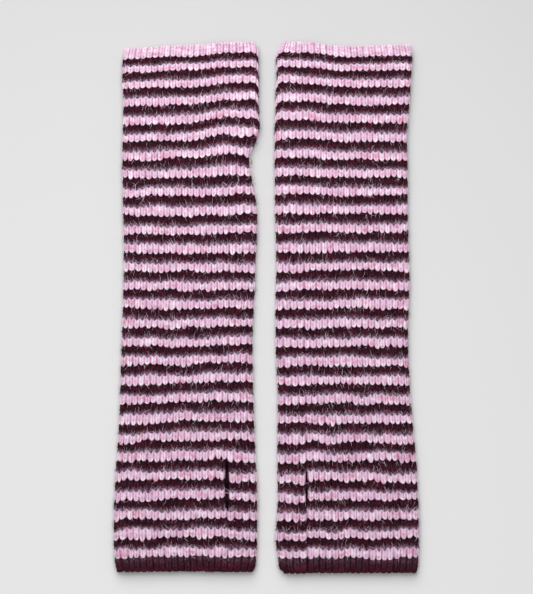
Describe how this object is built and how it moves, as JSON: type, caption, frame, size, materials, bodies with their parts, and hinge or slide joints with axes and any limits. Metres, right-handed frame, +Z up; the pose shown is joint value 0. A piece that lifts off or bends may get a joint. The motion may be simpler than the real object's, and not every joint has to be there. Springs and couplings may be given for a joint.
{
  "type": "pair of hand warmers",
  "caption": "Long fingerless hand warmers in striped rib knit with a thumb slit each, lying flat side by side.",
  "frame": {"origin": "middle of the pair on the surface it lies on: centre of the bounding box in X and Y, and its lowest point in Z", "axes": "+Y towards the arm ends, along the length of both warmers; +X from the left warmer to the right one as they lie; +Z up, out of the front layers"},
  "size_m": [0.2183, 0.38, 0.0083],
  "materials": {
    "striped_knit": "matte brushed rib knit in narrow pale pink and dark burgundy stripes, heathered and hairy",
    "pink_yarn": "matte brushed heathered yarn, pale pink with rosier and whiter fibres",
    "burgundy_yarn": "matte brushed heathered yarn, dark burgundy with greyish mauve hairs"
  },
  "bodies": {
    "root": {"left_back_panel": "striped_knit", "left_front_panel": "striped_knit", "left_thumb_side_panel": "striped_knit", "left_seam_above_slit": "striped_knit", "left_seam_below_slit": "striped_knit", "left_arm_edge_front": "pink_yarn", "left_arm_edge_back": "pink_yarn", "left_hand_edge_front": "burgundy_yarn", "left_hand_edge_back": "burgundy_yarn", "right_back_panel": "striped_knit", "right_front_panel": "striped_knit", "right_thumb_side_panel": "striped_knit", "right_seam_above_slit": "striped_knit", "right_seam_below_slit": "striped_knit", "right_arm_edge_front": "pink_yarn", "right_arm_edge_back": "pink_yarn", "right_hand_edge_front": "burgundy_yarn", "right_hand_edge_back": "burgundy_yarn"}
  },
  "joints": []
}
